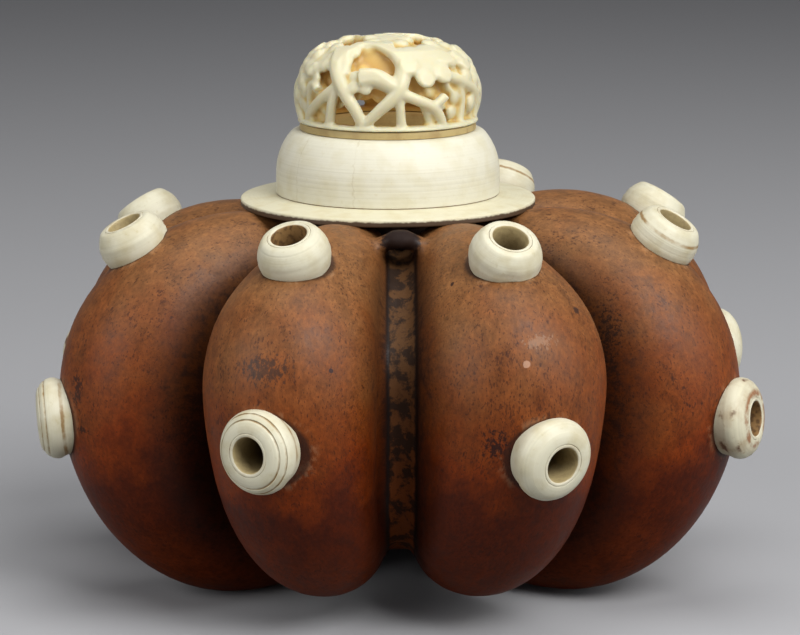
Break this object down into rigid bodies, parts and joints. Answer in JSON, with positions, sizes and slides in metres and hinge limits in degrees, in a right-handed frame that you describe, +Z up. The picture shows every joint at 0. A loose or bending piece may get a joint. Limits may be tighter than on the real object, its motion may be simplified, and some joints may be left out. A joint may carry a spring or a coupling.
{
  "type": "gourd cricket cage",
  "caption": "Free-standing hollow lobed gourd cage for a singing insect, with bored vent rings, a flanged drum collar and a pierced carved lid that lifts off.",
  "frame": {"origin": "on the gourd's own axis at the floor, under the middle of its outline; the neck's axis is 1.95 mm towards -X from it", "axes": "+Z up out of the mouth, -Y towards the front pair of lobes, +X to the right seen from the front"},
  "size_m": [0.1153, 0.1149, 0.089],
  "materials": {
    "gourd_shell": "dried gourd skin, worn to a soft gloss by handling",
    "neck_disc_bone": "thin turned bone disc, waxed",
    "neck_bone": "turned bone, softly polished",
    "step_bone": "turned bone, stained darker than the collar",
    "carved_bone": "carved bone, polished and yellowed",
    "ring_bone": "turned bone with fine turning lines",
    "sleeve_bone": "turned bone tube, browned inside the bore"
  },
  "bodies": {
    "cage": {"gourd_lobe_front_left": "gourd_shell", "gourd_lobe_left_front": "gourd_shell", "gourd_lobe_left_rear": "gourd_shell", "gourd_lobe_rear_left": "gourd_shell", "gourd_lobe_rear_right": "gourd_shell", "gourd_lobe_right_rear": "gourd_shell", "gourd_lobe_right_front": "gourd_shell", "gourd_lobe_front_right": "gourd_shell", "neck_disc": "neck_disc_bone", "neck_collar": "neck_bone", "upper_vent_ring_front_left": "ring_bone", "upper_vent_ring_left_front": "ring_bone", "upper_vent_ring_left_rear": "ring_bone", "upper_vent_ring_rear_left": "ring_bone", "upper_vent_ring_rear_right": "ring_bone", "upper_vent_ring_right_rear": "ring_bone", "upper_vent_ring_right_front": "ring_bone", "upper_vent_ring_front_right": "ring_bone", "lower_vent_ring_front_left": "ring_bone", "lower_vent_ring_left_front": "ring_bone", "lower_vent_ring_left_rear": "ring_bone", "lower_vent_ring_rear_left": "ring_bone", "lower_vent_ring_rear_right": "ring_bone", "lower_vent_ring_right_rear": "ring_bone", "lower_vent_ring_right_front": "ring_bone", "lower_vent_ring_front_right": "ring_bone", "upper_vent_sleeve_front_left": "sleeve_bone", "upper_vent_sleeve_left_front": "sleeve_bone", "upper_vent_sleeve_left_rear": "sleeve_bone", "upper_vent_sleeve_rear_left": "sleeve_bone", "upper_vent_sleeve_rear_right": "sleeve_bone", "upper_vent_sleeve_right_rear": "sleeve_bone", "upper_vent_sleeve_right_front": "sleeve_bone", "upper_vent_sleeve_front_right": "sleeve_bone", "lower_vent_sleeve_front_left": "sleeve_bone", "lower_vent_sleeve_left_front": "sleeve_bone", "lower_vent_sleeve_left_rear": "sleeve_bone", "lower_vent_sleeve_rear_left": "sleeve_bone", "lower_vent_sleeve_rear_right": "sleeve_bone", "lower_vent_sleeve_right_rear": "sleeve_bone", "lower_vent_sleeve_right_front": "sleeve_bone", "lower_vent_sleeve_front_right": "sleeve_bone"},
    "lid": {"lid_ring": "step_bone", "lid_dome": "carved_bone"}
  },
  "joints": [
    {"name": "lid_lift", "type": "slide", "parent": "cage", "child": "lid", "axis": [0, 0, 1], "range_m": [0, 0.03]}
  ]
}
